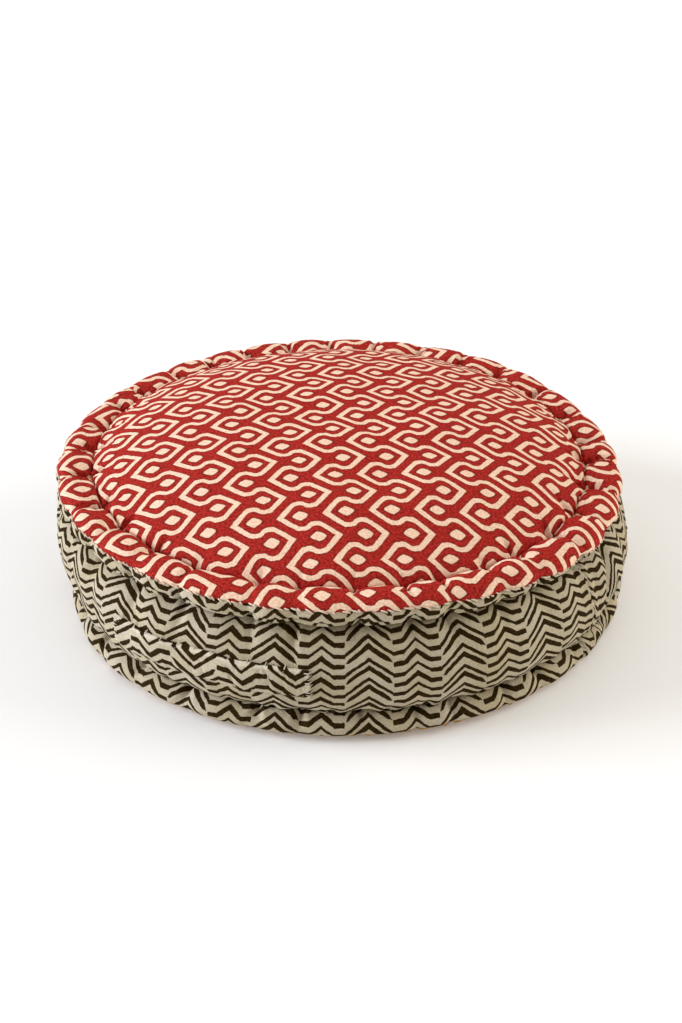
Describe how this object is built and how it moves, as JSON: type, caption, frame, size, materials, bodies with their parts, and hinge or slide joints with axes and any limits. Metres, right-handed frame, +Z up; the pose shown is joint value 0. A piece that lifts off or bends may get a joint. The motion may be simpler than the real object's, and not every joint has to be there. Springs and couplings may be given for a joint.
{
  "type": "round meditation cushion",
  "caption": "Round stuffed floor cushion with a domed printed top, stitched rolled edges, a full chevron-print side band and a flat sewn-on handle strip.",
  "frame": {"origin": "on the floor below the middle of the side band, at the underside's rest face", "axes": "+Z up through the crown; the side with the handle strip faces -Y"},
  "size_m": [0.6085, 0.6127, 0.183],
  "materials": {
    "chevron_cotton": "printed woven cotton, matt",
    "red_print_cotton": "printed woven cotton, matt",
    "ochre_cotton": "plain woven cotton, matt",
    "handle_cotton": "printed woven cotton, doubled, matt"
  },
  "bodies": {
    "root": {"cushion": "chevron_cotton", "top_panel": "red_print_cotton", "bottom_panel": "ochre_cotton", "handle": "handle_cotton"}
  },
  "joints": []
}
